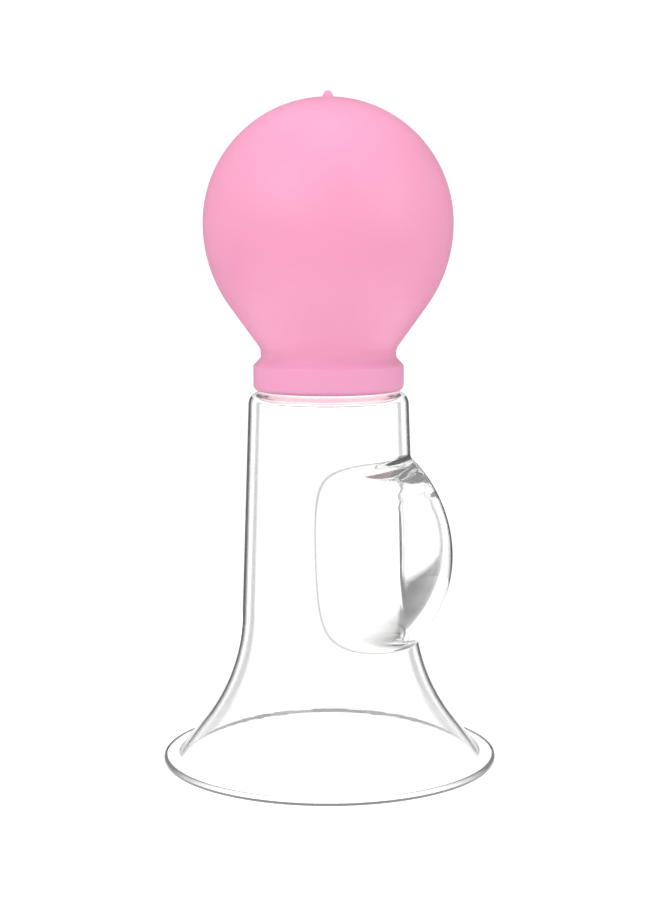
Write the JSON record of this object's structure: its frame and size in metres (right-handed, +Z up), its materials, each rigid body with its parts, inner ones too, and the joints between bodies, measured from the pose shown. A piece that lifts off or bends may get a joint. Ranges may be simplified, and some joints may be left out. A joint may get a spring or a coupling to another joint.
{
  "type": "cupping cup with squeeze bulb",
  "caption": "Clear glass flared suction cup with a side reservoir and a pink rubber squeeze bulb on its neck.",
  "frame": {"origin": "centre of the mouth, on the plane that the rim stands on", "axes": "+Z up the barrel to the bulb, +X towards the reservoir"},
  "size_m": [0.075, 0.075, 0.1489],
  "materials": {
    "clear_glass": "clear, fire polished",
    "pink_rubber": "satin moulded"
  },
  "bodies": {
    "glass": {"glass_bell": "clear_glass", "side_reservoir": "clear_glass"},
    "bulb": {"bulb_collar": "pink_rubber", "bulb_throat": "pink_rubber"},
    "dome": {"bulb_dome": "pink_rubber"}
  },
  "joints": [
    {"name": "bulb_pull_off", "type": "slide", "parent": "glass", "child": "bulb", "axis": [0, 0, 1], "range_m": [0, 0.02]},
    {"name": "bulb_squeeze", "type": "slide", "parent": "bulb", "child": "dome", "axis": [0, 0, -1], "range_m": [0, 0.012], "stiffness_N_per_m": 600, "deforming": ["bulb_throat"]}
  ]
}
